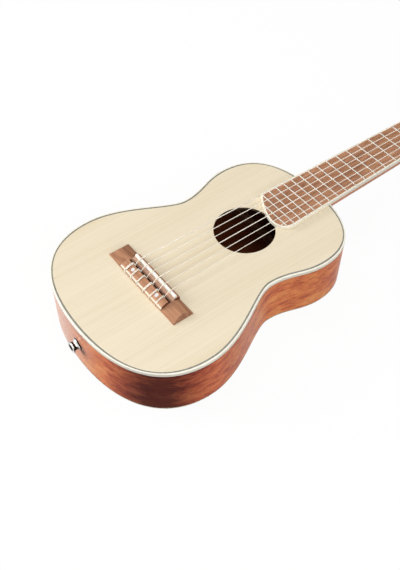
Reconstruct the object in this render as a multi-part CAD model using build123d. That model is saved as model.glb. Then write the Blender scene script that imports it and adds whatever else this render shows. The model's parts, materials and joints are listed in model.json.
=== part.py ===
from build123d import *
import os
from math import asin, atan2, cos, degrees, pi, radians, sin, sqrt, tan

# A six-string guitalele lying face up. Millimetres.
# +X is the treble side, +Y points to the head, +Z is up. The back lies on z = 0.
# It is drawn with y = 0 at the end of the string scale, and centred along Y when it is written.

# Scale and frets
scale_length = 433.0
fret_count = 18
joint_fret = 12             # this fret stands at the body's edge
joint_to_edge = 3.1         # from that fret to the edge of the body
fret_width = 1.6
fret_height = 1.0
tang_width = 0.6
tang_depth = 1.6

# Body plan: widths across the bouts and waist, and where they lie
tail_to_saddle = 101.5
lower_bout = 228.0
waist = 152.0
upper_bout = 178.6
lower_bout_y = -15.3
waist_y = 89.4
upper_bout_to_neck = 64.8
# How far each stretch of the plan keeps the direction of its ends
tail_pull = 68.5
lower_tail_pull = 58.0
lower_waist_pull = 43.0
waist_lower_pull = 20.5
waist_upper_pull = 27.0
upper_waist_pull = 27.5
upper_neck_pull = 49.0
neck_pull = 46.0

# Body walls and edging
body_depth = 63.0
top_thickness = 2.6
back_thickness = 2.4
side_thickness = 2.0        # the bindings have the same thickness
top_binding_height = 3.8
back_binding_height = 1.8
binding_round = 0.8         # outer edges of the body and the fretboard
round_steps = 3
purfling_width = 2.0
purfling_depth = 1.5
lining_width = 5.0
lining_height = 9.0

# Sound hole
hole_y = 115.1
hole_radius = 34.0

# Blocks and braces inside
neck_block_width = 52.0
neck_block_length = 34.0
tail_block_width = 48.0
tail_block_length = 16.0
brace_width = 8.0
top_brace_height = 11.0
back_brace_height = 9.0
brace_round = 2.5
brace_to_hole = 14.0
back_brace_ys = (-20.0, 80.0, 165.0)
fan_width = 6.0
fan_height = 7.0
fan_across = 40.0
fan_angle = 8.0
fan_gap = 2.0               # between a fan brace and the crossing brace
fit_gap = 0.3               # between brace ends and the linings
bridge_plate_thickness = 2.2
bridge_plate_margin = 5.0

# Bridge, heights above the soundboard
bridge_length = 116.0
wing_edge = 1.3
wing_height = 4.8
wing_crest = 14.4           # from the rear edge to the crest
wing_crease = 0.5           # how far the slopes' bow stays below the crest
wing_end = 0.9
wing_bevel = 3.5
tie_width = 9.8
tie_rear_height = 3.6       # the tie block's top curves down to its rear edge
tie_height = 7.6
tie_hole_radius = 0.75
tie_hole_front = 3.4
tie_hole_rear = 1.25
channel_width = 3.0
channel_floor = 2.2
ridge_front = 3.0           # the ridge's width in front of the saddle
ridge_back = 5.2
ridge_end_wall = 0.75       # the ridge's length past each end of the saddle
ridge_height = 5.8
ridge_rear_height = 3.6     # the ridge slopes down behind the saddle
ridge_front_height = 4.8
strip_size = 1.3
saddle_y = -2.9
saddle_width = 3.2
saddle_length = 70.0
saddle_margin = 8.75        # from the saddle's end to the outer string
saddle_round = 1.1
saddle_seat = 1.8
pickup_thickness = 1.2
dot_across = 21.0
dot_from_rear = 5.6
dot_radius = 2.1
bolt_head_level = 2.6
bolt_head_height = 2.0
bolt_radius = 1.5
bolt_clearance = 0.1
bolt_tail = 4.0
bolt_nut_radius = 3.2
bolt_nut_height = 2.4

# Lead from the pickup to the jack
lead_radius = 0.8
lead_hole_clearance = 0.2
lead_from_end = 3.5         # from the saddle's bass end
lead_drop = 18.0            # below the soundboard before the lead turns back
lead_straight = 14.0        # in line with the jack
lead_bends = (10.0, 14.0, 12.0)

# Jack in the tail block
jack_radius = 4.2
jack_bore_radius = 3.2
jack_reach = 8.0
jack_length = 42.5
jack_z = 33.0
jack_floor = 3.0
jack_thread_clearance = 0.05
jack_hole_clearance = 0.2
washer_radius = 6.9
washer_thickness = 1.0
collar_wall = 0.6           # round the jack, at the collar's waist
collar_flange_radius = 6.6
collar_flange = 1.2
jack_nut_radius = 7.5
jack_nut_thickness = 3.0

# Neck, head and fretboard
joint_width = 55.6
nut_length = 45.0
neck_depth_joint = 17.0
neck_depth_nut = 15.0
shoulder_length = 14.0
neck_round = (0.15, 0.62)   # flat share of the underside, and how full its corners are
neck_square = (0.92, 0.95)
heel_foot_width = 22.0
heel_foot_length = 15.0
heel_waist_width = 27.0
heel_waist_length = 20.0
heel_top_width = 50.0
heel_top_length = 52.0
heel_foot_z = 1.0
heel_waist_z = 24.0
heel_top_drop = 9.0
bow_share = 0.75            # a symmetrical bow reaches this far towards its control points
dowel_radius = 4.0
dowel_depth = 14.0
dowel_heights = (16.0, 34.0)
board_thickness = 4.5
board_binding = 1.8
board_end_drop = 8.8        # from the last fret to the far end of the board
board_low_x = 12.0
board_bass_rise = 0.2       # from the last fret but one to the bass corner
board_treble_rise = 7.9
board_bass_pull = (13.0, -9.3)
board_low_pull = 12.0
board_round_pull = 9.0
board_treble_pull = 10.5
nut_width = 5.0
nut_margin = 2.75           # from the nut's end to the outer string
nut_over_string = 1.0       # from a string's centre to the nut's top
head_tilt = 12.0
head_length = 148.0
head_thickness = 14.5
veneer_thickness = 1.5
head_shoulder_width = 62.0
head_shoulder_at = 24.0
head_end_width = 66.0
head_tip_rise = 16.0        # how far the arched tip stands past the head's sides

# Strings, first the thinnest treble string
string_radii = (0.36, 0.41, 0.52, 0.38, 0.45, 0.56)
string_over_fret = 0.7      # from the frets' tops to a string's centre, at the nut
saddle_over_fret = 3.5      # from the frets' tops to the saddle's top
string_clearance = 0.1
loop_shift = 1.5
loop_hang = 2.6
loop_room = 0.15            # keeps a loop's straight runs off the curved tie block
loop_steps = (0.2, 0.55)    # where a loop turns, as shares of the tie block's width
loop_bend = 6.0
bend_room = 0.35            # from a bend to the edge it goes over
hole_bend = 1.0
nut_bend = 6.0
saddle_bend = 2.0
post_turn = 240.0           # how far a string goes round its post

# Tuners: a worm on the button's shaft turns the gear on the string post
tuner_first = 34.0
tuner_spacing = 36.0
post_across = 21.5
post_radius = 3.0
post_height = 13.0
post_chamfer = 0.6
post_hole_radius = 1.1
post_hole_height = 9.6
running_clearance = 0.08
bushing_radius = 4.3
bushing_depth = 9.0
bushing_flange_radius = 5.2
bushing_flange = 1.0
bushing_fit = 0.02
post_hole_room = 0.3
plate_thickness = 1.2
plate_width = 16.0
plate_nut_end = 11.0
plate_tip_end = 15.5
plate_corner = 2.5
ear_thickness = 1.2
ear_half_width = 3.0
ear_spacing = 13.0
gear_teeth = 14
gear_pitch_radius = 4.0
gear_thickness = 2.4
worm_pitch_radius = 2.4
worm_turns = 4
tooth_addendum = 0.55
tooth_dedendum = 0.70
tooth_thickness = 0.62      # at the pitch line
flank_angle = 20.0
thread_sink = 0.3           # thread foot inside the worm's core
shaft_radius = 1.5
shaft_drop = 4.3            # worm axis below the plate
shaft_inner_end = 9.0
shaft_clearance = 0.06
collar_radius = 2.6
collar_length = 2.0
button_gap = 3.5            # from the edge of the head to the button
button_length = 16.0
button_width = 17.0
button_thickness = 7.5
button_round = 2.8
button_socket = 5.0
button_flat = 1.0           # cut off the button where the shaft's collar meets it
spigot_radius = 1.8
gear_screw_radius = 2.4
gear_screw_height = 1.4
gear_screw_shank = 1.0
gear_screw_length = 4.0
plate_screw_radius = 2.0
plate_screw_height = 1.2
plate_screw_shank = 1.1
plate_screw_length = 8.0
plate_screw_nut_end = 8.3
plate_screw_tip_end = 12.6
slot_width = 0.6
slot_depth = 0.6


def fret_y(number):
    return scale_length / 2 ** (number / 12)


# Levels and places worked out from the sizes above
top_z = body_depth
top_inside = top_z - top_thickness
back_inside = back_thickness
tail_y = -tail_to_saddle
neck_end_y = fret_y(joint_fret) + joint_to_edge
upper_bout_y = neck_end_y - upper_bout_to_neck
nut_y = scale_length
head_y = nut_y + nut_width
saddle_rear_y = saddle_y - saddle_width / 2
saddle_front_y = saddle_y + saddle_width / 2
ridge_rear_y = saddle_rear_y - ridge_back
tie_front_y = ridge_rear_y - channel_width
bridge_rear_y = tie_front_y - tie_width
bridge_front_y = saddle_front_y + ridge_front
tie_length = saddle_length + 2 * ridge_end_wall
bolt_head_z = top_z + bolt_head_level
board_top = top_z + board_thickness
fret_top = board_thickness + fret_height
string_at_nut = fret_top + string_over_fret
nut_height = string_at_nut + nut_over_string
saddle_height = fret_top + saddle_over_fret
head_side_length = head_length - head_tip_rise
collar_neck_radius = jack_radius + jack_thread_clearance + collar_wall
brace_inset = side_thickness + lining_width + fit_gap
jack_inner_y = tail_y - jack_reach + jack_length
tooth_pitch = 2 * pi * gear_pitch_radius / gear_teeth
centre_distance = gear_pitch_radius + worm_pitch_radius
plate_low = -head_thickness - plate_thickness
shaft_level = plate_low - shaft_drop
head_tip_y = head_y + head_length * cos(radians(head_tilt))
middle_y = (head_tip_y + tail_y - jack_reach) / 2
numbers = range(1, 7)       # strings and their tuners, 1 is the thinnest treble string
saddle_spacing = (saddle_length - 2 * saddle_margin) / (len(numbers) - 1)
nut_spacing = (nut_length - 2 * nut_margin) / (len(numbers) - 1)
head_plane = Plane(
    origin=(0, head_y, top_z),
    x_dir=(1, 0, 0),
    z_dir=(0, sin(radians(head_tilt)), cos(radians(head_tilt))),
)


# General helpers

def block(x, y, z):
    """A box between pairs of limits."""
    limits = (x, y, z)
    size = [high - low for low, high in limits]
    centre = [(high + low) / 2 for low, high in limits]
    return Pos(*centre) * Box(*size)


def rod(start, end, radius):
    """A round bar between two points."""
    start, end = Vector(start), Vector(end)
    return Part() + Solid.make_cylinder(radius, (end - start).length, Plane(start, z_dir=end - start))


def slab(face, low, high):
    """A face in plan, made into a plate between two heights."""
    return Pos(0, 0, low) * extrude(face, amount=high - low)


def group(pieces):
    """Pieces that share one node and stay separate solids."""
    return Compound([solid for piece in pieces for solid in piece.solids()])


# Body

def outline(inset=0.0):
    """The body in plan, drawn a distance inside its outer edge."""
    across, along = Vector(1, 0), Vector(0, 1)
    tail = along * (tail_y + inset)
    lower = Vector(lower_bout / 2 - inset, lower_bout_y)
    narrow = Vector(waist / 2 - inset, waist_y)
    upper = Vector(upper_bout / 2 - inset, upper_bout_y)
    neck_end = along * (neck_end_y - inset)
    half = [
        Bezier(tail, tail + across * tail_pull, lower - along * lower_tail_pull, lower),
        Bezier(lower, lower + along * lower_waist_pull, narrow - along * waist_lower_pull, narrow),
        Bezier(narrow, narrow + along * waist_upper_pull, upper - along * upper_waist_pull, upper),
        Bezier(upper, upper + along * upper_neck_pull, neck_end + across * neck_pull, neck_end),
    ]
    return make_face(half + [curve.mirror(Plane.YZ) for curve in half])


def rim(outer, inner, low, high):
    """A band that follows the body's edge between two insets."""
    return slab(outline(outer) - outline(inner), low, high)


def bolt_places():
    y = bridge_rear_y + dot_from_rear
    return [(side * dot_across, y) for side in (-1, 1)]


def bolt_holes(low, high):
    radius = bolt_radius + bolt_clearance
    return [rod((x, y, low), (x, y, high), radius) for x, y in bolt_places()]


def lead_x():
    return lead_from_end - saddle_length / 2


def lead_hole(low, high):
    x = lead_x()
    return rod((x, saddle_y, low), (x, saddle_y, high), lead_radius + lead_hole_clearance)


def soundboard(keep):
    """One of the soundboard's two matched halves, which meet on the centre line."""
    plate = slab(outline(side_thickness), top_inside, top_z)
    channel = rim(side_thickness, side_thickness + purfling_width, top_z - purfling_depth, top_z)
    hole = rod((0, hole_y, top_inside), (0, hole_y, top_z), hole_radius)
    plate = plate - channel - hole - bolt_holes(top_inside, top_z) - lead_hole(top_inside, top_z)
    return split(plate, bisect_by=Plane.YZ, keep=keep)


def top_purfling():
    return rim(side_thickness, side_thickness + purfling_width, top_z - purfling_depth, top_z)


def rounded_slab(face_at, low, high):
    """A plate with its upper edge rounded; face_at draws its plan at an inset."""
    angles = [pi / 2 * step / round_steps for step in range(round_steps + 1)]
    insets = [binding_round * (1 - cos(angle)) for angle in angles]
    heights = [high - binding_round * (1 - sin(angle)) for angle in angles]
    levels = [(0, low), *zip(insets, heights)]
    return loft([Pos(0, 0, z) * face_at(inset) for inset, z in levels], ruled=True)


def top_binding():
    low = top_z - top_binding_height
    return rounded_slab(outline, low, top_z) - slab(outline(side_thickness), low, top_z)


def back_binding():
    """Drawn upside down and turned over, because its lower edge is the rounded one."""
    low = -back_binding_height
    return mirror(rounded_slab(outline, low, 0) - slab(outline(side_thickness), low, 0), Plane.XY)


def back_plate():
    return slab(outline(side_thickness), 0, back_thickness)


def jack_hole():
    radius = jack_radius + jack_hole_clearance
    return rod((0, tail_y - jack_reach, jack_z), (0, jack_inner_y, jack_z), radius)


def dowel_rods():
    return [
        rod((0, neck_end_y - dowel_depth, z), (0, neck_end_y + dowel_depth, z), dowel_radius)
        for z in dowel_heights
    ]


def side(keep):
    """One bent side, from the tail seam to the neck joint."""
    ring = rim(0, side_thickness, back_binding_height, top_z - top_binding_height)
    return split(ring, bisect_by=Plane.YZ, keep=keep) - jack_hole() - dowel_rods()


def neck_block_room():
    half = neck_block_width / 2
    length = side_thickness + neck_block_length
    return block((-half, half), (neck_end_y - length, neck_end_y), (back_inside, top_inside))


def tail_block_room():
    half = tail_block_width / 2
    length = side_thickness + tail_block_length
    return block((-half, half), (tail_y, tail_y + length), (back_inside, top_inside))


def neck_block():
    inside = slab(outline(side_thickness), back_inside, top_inside)
    return (neck_block_room() & inside) - dowel_rods()


def tail_block():
    inside = slab(outline(side_thickness), back_inside, top_inside)
    return (tail_block_room() & inside) - jack_hole()


def linings():
    """Strips that join the sides to the soundboard and to the back, between the blocks."""
    inner = side_thickness + lining_width
    upper = rim(side_thickness, inner, top_inside - lining_height, top_inside)
    lower = rim(side_thickness, inner, back_inside, back_inside + lining_height)
    return group([band - [neck_block_room(), tail_block_room()] for band in (upper, lower)])


def brace(length, width, low, high, round_top):
    """A bar along X with its free long edges rounded."""
    half = length / 2
    bar = block((-half, half), (-width / 2, width / 2), (low, high))
    edges = bar.edges().filter_by(Axis.X).sort_by(Axis.Z)
    return fillet(edges[-2:] if round_top else edges[:2], brace_round)


def bridge_plate():
    half = bridge_length / 2 + bridge_plate_margin
    rear, front = bridge_rear_y - bridge_plate_margin, bridge_front_y + bridge_plate_margin
    low = top_inside - bridge_plate_thickness
    plate = block((-half, half), (rear, front), (low, top_inside))
    return plate - bolt_holes(low, top_inside) - lead_hole(low, top_inside)


def top_braces():
    """Two crossing bars beside the sound hole, and three fan bars that lie over the bridge plate."""
    cross_y = hole_y - hole_radius - brace_to_hole
    upper_y = hole_y + hole_radius + brace_to_hole
    cross = brace(lower_bout, brace_width, top_inside - top_brace_height, top_inside, False)
    bars = [Pos(0, y, 0) * cross for y in (cross_y, upper_y)]
    fan_end = cross_y - brace_width / 2 - fan_gap
    fan = brace(2 * (fan_end - tail_y), fan_width, top_inside - fan_height, top_inside, False)
    reach = block((-lower_bout, lower_bout), (tail_y, fan_end), (0, top_z))
    for step in (-1, 0, 1):
        placed = Pos(step * fan_across, 0, 0) * Rot(0, 0, 90 + step * fan_angle) * fan
        bars.append(placed & reach)
    inside = slab(outline(brace_inset), back_inside, top_inside)
    tail_room = Pos(0, fit_gap, 0) * tail_block_room()
    return group([(bar & inside) - bridge_plate() - tail_room for bar in bars])


def back_braces():
    bar = brace(lower_bout, brace_width, back_inside, back_inside + back_brace_height, True)
    inside = slab(outline(brace_inset), back_inside, top_inside)
    return group([(Pos(0, y, 0) * bar) & inside for y in back_brace_ys])


# Bridge

def bridge_profile():
    """The wings' cross-section: two bowed slopes that meet in a soft crest."""
    rear, front = bridge_rear_y, bridge_front_y
    edge, peak = top_z + wing_edge, top_z + wing_height
    crest = rear + wing_crest
    swell = peak - wing_crease
    back_slope = Bezier((rear, edge), ((rear + crest) / 2, swell), (crest, peak))
    front_slope = Bezier((crest, peak), ((crest + front) / 2, swell), (front, edge))
    foot = Polyline((front, edge), (front, top_z), (rear, top_z), (rear, edge))
    return make_face(Curve() + [back_slope, front_slope, foot])


def wings():
    half = bridge_length / 2
    arch = extrude(Plane.YZ * bridge_profile(), amount=half, both=True)
    end, peak = top_z + wing_end, top_z + wing_height
    ends = make_face(Polyline(
        (-half, top_z), (half, top_z), (half, end), (half - wing_bevel, peak),
        (wing_bevel - half, peak), (-half, end), close=True,
    ))
    return arch & extrude(Plane.XZ * ends, amount=bridge_length, both=True)


def tie_top(y):
    """Height of the tie block's curved top."""
    share = (tie_front_y - y) / tie_width
    return top_z + tie_height - (tie_height - tie_rear_height) * share ** 2


def tie_block():
    rear, front = bridge_rear_y, tie_front_y
    low, high = top_z + tie_rear_height, top_z + tie_height
    curve = Bezier((rear, low), ((rear + front) / 2, high), (front, high))
    foot = Polyline((front, high), (front, top_z), (rear, top_z), (rear, low))
    return extrude(Plane.YZ * make_face(Curve() + [curve, foot]), amount=tie_length / 2, both=True)


def tie_strip():
    """The pale strip let into the tie block's rear edge."""
    half, rear = tie_length / 2, bridge_rear_y
    low, high = top_z + tie_rear_height - strip_size, top_z + tie_height
    return tie_block() & block((-half, half), (rear, rear + strip_size), (low, high))


def pickup_strip():
    half = saddle_length / 2
    low = top_z + saddle_seat
    return block((-half, half), (saddle_rear_y, saddle_front_y), (low, low + pickup_thickness))


def saddle():
    half = saddle_length / 2
    low = top_z + saddle_seat + pickup_thickness
    bone = block((-half, half), (saddle_rear_y, saddle_front_y), (low, top_z + saddle_height))
    return fillet(bone.edges().filter_by(Axis.X).sort_by(Axis.Z)[-2:], saddle_round)


def string_x(number, spacing):
    """Place of a string across the bridge or nut."""
    return ((len(numbers) + 1) / 2 - number) * spacing


def saddle_ridge():
    """The raised bar that carries the saddle."""
    rear, front, high = ridge_rear_y, bridge_front_y, top_z + ridge_height
    profile = Polyline(
        (rear, top_z), (rear, top_z + ridge_rear_height), (saddle_rear_y, high), (saddle_front_y, high),
        (front, top_z + ridge_front_height), (front, top_z), close=True,
    )
    return extrude(Plane.YZ * make_face(profile), amount=tie_length / 2, both=True)


def tie_hole(x):
    """A string's sloping hole, drawn past both faces of the tie block."""
    over = tie_hole_radius
    rise = over * (tie_hole_front - tie_hole_rear) / tie_width
    start = (x, bridge_rear_y - over, top_z + tie_hole_rear - rise)
    end = (x, tie_front_y + over, top_z + tie_hole_front + rise)
    return rod(start, end, tie_hole_radius)


def bridge():
    half = tie_length / 2
    rear, high = bridge_rear_y, top_z + tie_height
    over_tie = block((-half, half), (rear, tie_front_y), (top_z, high)) - tie_block()
    channel = block((-half, half), (tie_front_y, ridge_rear_y), (top_z + channel_floor, high))
    seat = saddle_length / 2
    slot = block((-seat, seat), (saddle_rear_y, saddle_front_y), (top_z + saddle_seat, high))
    body = wings() - over_tie + tie_block() + saddle_ridge() - channel - slot - tie_strip()
    body = body - lead_hole(top_z, top_z + saddle_seat) - bolt_holes(top_z, bolt_head_z)
    body = body - [rod((x, y, bolt_head_z), (x, y, high), dot_radius) for x, y in bolt_places()]
    return body - [tie_hole(string_x(number, saddle_spacing)) for number in numbers]


def bridge_dots():
    """Pearl dots over the bolt heads, flush with the tie block's top."""
    low, high = bolt_head_z + bolt_head_height, top_z + tie_height
    return group([rod((x, y, low), (x, y, high), dot_radius) & tie_block() for x, y in bolt_places()])


def bridge_bolts():
    """Two bolts from the tie block down through the soundboard, each with its nut."""
    nut_high = top_inside - bridge_plate_thickness
    nut_low = nut_high - bolt_nut_height
    pieces = []
    for x, y in bolt_places():
        head = rod((x, y, bolt_head_z), (x, y, bolt_head_z + bolt_head_height), dot_radius - bolt_clearance)
        shank = rod((x, y, nut_low - bolt_tail), (x, y, bolt_head_z), bolt_radius)
        hexagon = Pos(x, y, 0) * RegularPolygon(bolt_nut_radius, 6)
        thread = rod((x, y, nut_low), (x, y, nut_high), bolt_radius + jack_thread_clearance)
        pieces += [head + shank, slab(hexagon, nut_low, nut_high) - thread]
    return group(pieces)


# Electrics

def pickup_lead():
    """The lead drops through the soundboard and runs back to the inner end of the jack."""
    x = lead_x()
    low = top_inside - lead_drop
    points = [
        (x, saddle_y, top_z + saddle_seat),
        (x, saddle_y, low),
        (x / 2, (saddle_y + jack_inner_y) / 2, (low + jack_z) / 2),
        (0, jack_inner_y + lead_straight, jack_z),
        (0, jack_inner_y, jack_z),
    ]
    path = Wire(FilletPolyline(*points, radius=lead_bends).edges())
    return sweep(Plane(path @ 0, z_dir=path % 0) * Circle(lead_radius), path=path)


def jack_barrel():
    outer, inner = tail_y - jack_reach, jack_inner_y
    tube = rod((0, outer, jack_z), (0, inner, jack_z), jack_radius)
    return tube - rod((0, outer, jack_z), (0, inner - jack_floor, jack_z), jack_bore_radius)


def jack_ring(start, end, radius):
    ring = rod((0, start, jack_z), (0, end, jack_z), radius)
    return ring - rod((0, start, jack_z), (0, end, jack_z), jack_radius + jack_thread_clearance)


def jack_washer():
    return jack_ring(tail_y - washer_thickness, tail_y, washer_radius)


def strap_collar():
    """The waisted collar that holds a strap and caps the jack."""
    seat = tail_y - washer_thickness
    mouth = tail_y - jack_reach
    flange = mouth + collar_flange
    inner = jack_radius + jack_thread_clearance
    throat = (seat + flange) / 2
    waist_line = ThreePointArc(
        (collar_flange_radius, flange), (collar_neck_radius, throat), (collar_flange_radius, seat)
    )
    rest = Polyline(
        (collar_flange_radius, seat), (inner, seat), (inner, mouth),
        (collar_flange_radius, mouth), (collar_flange_radius, flange),
    )
    profile = make_face(Curve() + [waist_line, rest])
    return Pos(0, 0, jack_z) * revolve(profile, axis=Axis.Y)


def jack_nut():
    start = tail_y + side_thickness + tail_block_length
    seat = Plane((0, start, jack_z), x_dir=(1, 0, 0), z_dir=(0, 1, 0))
    nut_body = extrude(seat * RegularPolygon(jack_nut_radius, 6), amount=jack_nut_thickness)
    end = start + jack_nut_thickness
    return nut_body - rod((0, start, jack_z), (0, end, jack_z), jack_radius + jack_thread_clearance)


# Neck and fretboard

def board_half(y):
    """Half the fretboard's width at a place along the neck."""
    share = (nut_y - y) / (nut_y - fret_y(joint_fret))
    return (nut_length + (joint_width - nut_length) * share) / 2


def board_face(inset=0.0):
    """The fretboard in plan: tapered, with a slanting end that is rounded on the treble side."""
    bass_y = fret_y(fret_count - 1) + board_bass_rise + inset / 2
    bass = Vector(inset - board_half(bass_y), bass_y)
    low = Vector(board_low_x, fret_y(fret_count) - board_end_drop + inset)
    treble_y = fret_y(fret_count) + board_treble_rise
    treble = Vector(board_half(treble_y) - inset, treble_y)
    nut_bass = Vector(inset - nut_length / 2, nut_y)
    nut_treble = Vector(nut_length / 2 - inset, nut_y)
    slant = Bezier(bass, bass + Vector(*board_bass_pull), low - Vector(board_low_pull, 0), low)
    corner = Bezier(low, low + Vector(board_round_pull, 0), treble - Vector(0, board_treble_pull), treble)
    edges = Polyline(treble, nut_treble, nut_bass, bass)
    return make_face(Curve() + [slant, corner, edges])


def tang(number):
    y = fret_y(number)
    near, far = y - tang_width / 2, y + tang_width / 2
    return block((-joint_width, joint_width), (near, far), (board_top - tang_depth, board_top))


def fretboard():
    slots = [tang(number) for number in range(1, fret_count + 1)]
    return slab(board_face(board_binding), top_z, board_top) - slots


def fretboard_binding():
    return rounded_slab(board_face, top_z, board_top) - slab(board_face(board_binding), top_z, board_top)


def frets():
    inside = slab(board_face(board_binding), top_z, board_top + fret_height)
    wires = []
    for number in range(1, fret_count + 1):
        y = fret_y(number)
        left, right = (y - fret_width / 2, board_top), (y + fret_width / 2, board_top)
        crown = Curve() + [ThreePointArc(left, (y, board_top + fret_height), right), Line(right, left)]
        bar = extrude(Plane.YZ * make_face(crown), amount=joint_width, both=True)
        wires.append((bar + tang(number)) & inside)
    return group(wires)


def nut():
    half = nut_length / 2
    bone = block((-half, half), (nut_y, head_y), (top_z, top_z + nut_height))
    for number in numbers:
        radius = string_radii[number - 1] + string_clearance
        x = string_x(number, nut_spacing)
        floor = top_z + string_at_nut - radius
        bone = bone - block((x - radius, x + radius), (nut_y, head_y), (floor, top_z + nut_height))
    return bone


def neck_section(y, width, depth, flat, corner):
    """A cross-section of the neck: flat on top, from round to nearly square below."""
    half = width / 2
    foot = half * flat
    knee = foot + (half - foot) * corner
    right = Bezier((half, 0), (half, -depth * corner), (knee, -depth), (foot, -depth))
    left = Bezier((-foot, -depth), (-knee, -depth), (-half, -depth * corner), (-half, 0))
    section = Curve() + [Line((-half, 0), (half, 0)), right, Line((foot, -depth), (-foot, -depth)), left]
    return Pos(0, y, top_z) * (Plane.XZ * make_face(section))


def heel_section(z, width, length):
    """A level cut through the heel: straight at the body, rounded towards the head."""
    half = width / 2
    root = neck_end_y - heel_foot_length
    reach = root + (length + heel_foot_length) / bow_share
    bow = Bezier((half, root), (half, reach), (-half, reach), (-half, root))
    return Pos(0, 0, z) * make_face(Curve() + [Line((-half, root), (half, root)), bow])


def neck():
    root_y = neck_end_y - neck_depth_joint
    shoulder_y = nut_y - shoulder_length
    sections = [
        neck_section(root_y, 2 * board_half(root_y), neck_depth_joint, *neck_round),
        neck_section(shoulder_y, 2 * board_half(shoulder_y), neck_depth_nut, *neck_round),
        neck_section(head_y, nut_length, head_thickness / cos(radians(head_tilt)), *neck_square),
    ]
    shaft = loft(sections[:2], ruled=True) + loft(sections[1:], ruled=True)
    heel = loft([
        heel_section(heel_foot_z, heel_foot_width, heel_foot_length),
        heel_section(heel_waist_z, heel_waist_width, heel_waist_length),
        heel_section(top_z - heel_top_drop, heel_top_width, heel_top_length),
    ])
    return shaft + heel - slab(outline(), 0, top_z) - dowel_rods()


def head_face():
    """The head in plan: it flares from the nut, then widens slowly to an arched tip."""
    start, wide, end = nut_length / 2, head_shoulder_width / 2, head_end_width / 2
    middle = head_shoulder_at / 2
    flare = Bezier((start, 0), (start, middle), (wide, middle), (wide, head_shoulder_at))
    edge = Line((wide, head_shoulder_at), (end, head_side_length))
    half = Curve() + [flare, edge]
    tip = ThreePointArc((end, head_side_length), (0, head_length), (-end, head_side_length))
    return make_face(half + mirror(half, Plane.YZ) + [tip, Line((-start, 0), (start, 0))])


def on_tuner(number, piece):
    """A piece drawn about its string post on the treble side, moved to its place on the head."""
    row = min(number, len(numbers) + 1 - number) - 1
    placed = head_plane * (Pos(post_across, tuner_first + row * tuner_spacing, 0) * piece)
    return placed if number == row + 1 else mirror(placed, Plane.YZ)


def plate_screw_places():
    return [(0, -plate_screw_nut_end), (0, plate_screw_tip_end)]


def tuner_holes():
    """What one tuner takes out of the head."""
    bushing_hole = rod((0, 0, 0), (0, 0, -bushing_depth), bushing_radius + bushing_fit)
    post_hole = rod((0, 0, 0), (0, 0, -head_thickness), post_radius + post_hole_room)
    low, high = -head_thickness, plate_screw_length + plate_low
    screw_holes = [
        rod((x, y, low), (x, y, high), plate_screw_shank + bushing_fit) for x, y in plate_screw_places()
    ]
    return bushing_hole + post_hole + screw_holes


def headstock():
    wood = head_plane * slab(head_face(), -head_thickness, -veneer_thickness)
    behind = block((-head_end_width, head_end_width), (head_y - head_length, head_y), (0, top_z))
    return wood - behind - [on_tuner(number, tuner_holes()) for number in numbers]


def headstock_veneer():
    sheet = head_plane * slab(head_face(), -veneer_thickness, 0)
    behind = block((-head_end_width, head_end_width), (head_y - head_length, head_y), (0, top_z))
    return sheet - behind - [on_tuner(number, tuner_holes()) for number in numbers]


# Strings

def post_contact(start, rank, radius):
    """Where a string meets its post, and its turn round it, on the treble side of the head."""
    row_y = tuner_first + (rank - 1) * tuner_spacing
    turn_radius = post_radius + string_clearance + radius
    to_post = Vector(post_across - start.X, row_y - start.Y)
    heading = atan2(to_post.Y, to_post.X) + asin(turn_radius / to_post.length)
    run = sqrt(to_post.length ** 2 - turn_radius ** 2)
    touch = Vector(start.X + run * cos(heading), start.Y + run * sin(heading), start.Z)
    begin = degrees(atan2(touch.Y - row_y, touch.X - post_across))
    turn = Pos(0, 0, start.Z) * CenterArc((post_across, row_y), turn_radius, begin, -post_turn)
    return head_plane.from_local_coords(touch), head_plane * turn


def string(number):
    """A string from its tie loop, over the saddle and nut, to most of a turn round its post."""
    rank = min(number, len(numbers) + 1 - number)
    radius = string_radii[number - 1]
    x = string_x(rank, saddle_spacing)
    loop_x = x + loop_shift
    away = radius + string_clearance + loop_room
    rear_y, front_y = bridge_rear_y - away, tie_front_y + away
    over_tie = [bridge_rear_y + tie_width * share for share in loop_steps]
    over_saddle = Vector(x, saddle_rear_y - bend_room, top_z + saddle_height + radius + string_clearance)
    over_nut = Vector(string_x(rank, nut_spacing), head_y + bend_room, top_z + string_at_nut)
    touch, turn = post_contact(head_plane.to_local_coords(over_nut), rank, radius)
    points = [
        (loop_x, front_y, top_z + tie_height + away - loop_hang),
        (loop_x, front_y, top_z + tie_height + away),
        *[(loop_x, y, tie_top(y) + away) for y in reversed(over_tie)],
        (loop_x, rear_y, tie_top(bridge_rear_y) + radius),
        (x, rear_y, top_z + tie_hole_rear),
        (x, tie_front_y + bend_room, top_z + tie_hole_front),
        over_saddle,
        over_nut,
        touch,
    ]
    tight = radius + string_clearance
    bends = [tight, loop_bend, loop_bend, tight, tight, hole_bend, saddle_bend, nut_bend]
    path = Wire(FilletPolyline(*points, radius=bends).edges() + [turn.edge()])
    cord = sweep(Plane(path @ 0, z_dir=path % 0) * Circle(radius), path=path)
    return cord if number == rank else mirror(cord, Plane.YZ)


# Tuners, each drawn about its string post: X outwards, Y to the tip, Z up from the head's face

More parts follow.
